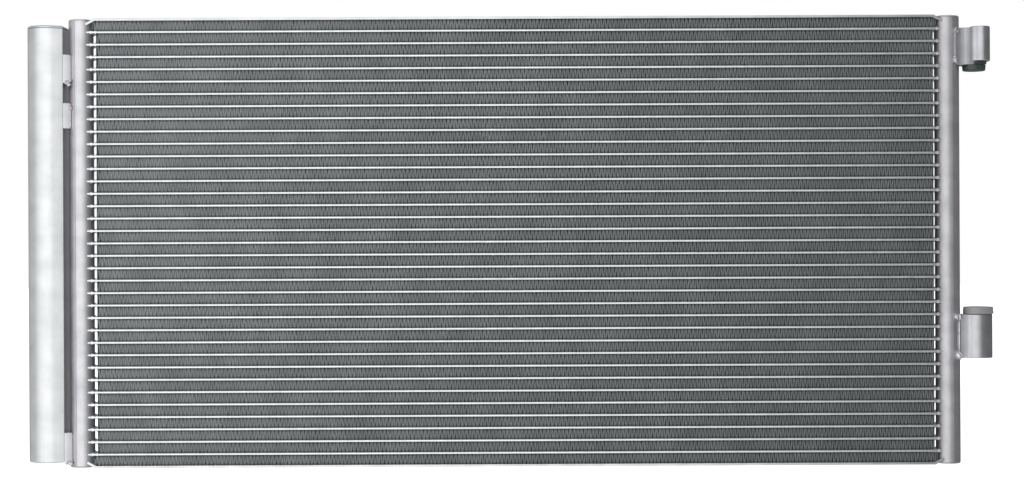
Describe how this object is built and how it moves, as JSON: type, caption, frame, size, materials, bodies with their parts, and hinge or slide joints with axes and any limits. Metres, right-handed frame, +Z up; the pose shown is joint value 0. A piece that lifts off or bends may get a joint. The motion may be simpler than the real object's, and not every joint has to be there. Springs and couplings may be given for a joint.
{
  "type": "air conditioning condenser",
  "caption": "Flat air conditioning condenser: a finned tube core between two round headers, with a receiver-drier on the left and two capped pipe blocks on the right.",
  "frame": {"origin": "centre of the outer face of the bottom side plate", "axes": "+X across the core from the drier side to the pipe block side, -Y towards the front, +Z up"},
  "size_m": [0.7793, 0.032, 0.362],
  "materials": {
    "core": "brazed, satin",
    "side_plate": "rolled, satin",
    "header": "brazed, satin",
    "drier": "drawn, bright satin",
    "block": "extruded, satin",
    "dark_cap": "moulded",
    "grey_cap": "moulded",
    "felt": "felted",
    "nylon": "moulded",
    "seal": "moulded"
  },
  "bodies": {
    "root": {"bottom_side_plate": "side_plate", "top_side_plate": "side_plate", "receiver_drier_tank": "drier", "drier_top_cap": "drier", "drier_bottom_plug": "drier", "drier_plug_seal": "seal", "desiccant_bag": "felt", "drier_filter": "nylon", "upper_saddle": "block", "middle_saddle": "block", "lower_flow_block": "block", "inlet_block": "block", "outlet_block": "block", "inlet_port_cap": "dark_cap", "outlet_port_cap": "grey_cap", "left_header_tube": "header", "left_header_top_cap": "header", "left_header_bottom_cap": "header", "left_header_baffle": "header", "right_header_tube": "header", "right_header_top_cap": "header", "right_header_bottom_cap": "header", "right_header_baffle": "header", "tube_and_fin_01": "core", "tube_and_fin_02": "core", "tube_and_fin_03": "core", "tube_and_fin_04": "core", "tube_and_fin_05": "core", "tube_and_fin_06": "core", "tube_and_fin_07": "core", "tube_and_fin_08": "core", "tube_and_fin_09": "core", "tube_and_fin_10": "core", "tube_and_fin_11": "core", "tube_and_fin_12": "core", "tube_and_fin_13": "core", "tube_and_fin_14": "core", "tube_and_fin_15": "core", "tube_and_fin_16": "core", "tube_and_fin_17": "core", "tube_and_fin_18": "core", "tube_and_fin_19": "core", "tube_and_fin_20": "core", "tube_and_fin_21": "core", "tube_and_fin_22": "core", "tube_and_fin_23": "core", "tube_and_fin_24": "core", "tube_and_fin_25": "core", "tube_and_fin_26": "core", "tube_and_fin_27": "core", "tube_and_fin_28": "core", "tube_and_fin_29": "core", "tube_and_fin_30": "core", "tube_and_fin_31": "core", "tube_and_fin_32": "core", "tube_and_fin_33": "core", "tube_and_fin_34": "core", "tube_and_fin_35": "core"}
  },
  "joints": []
}
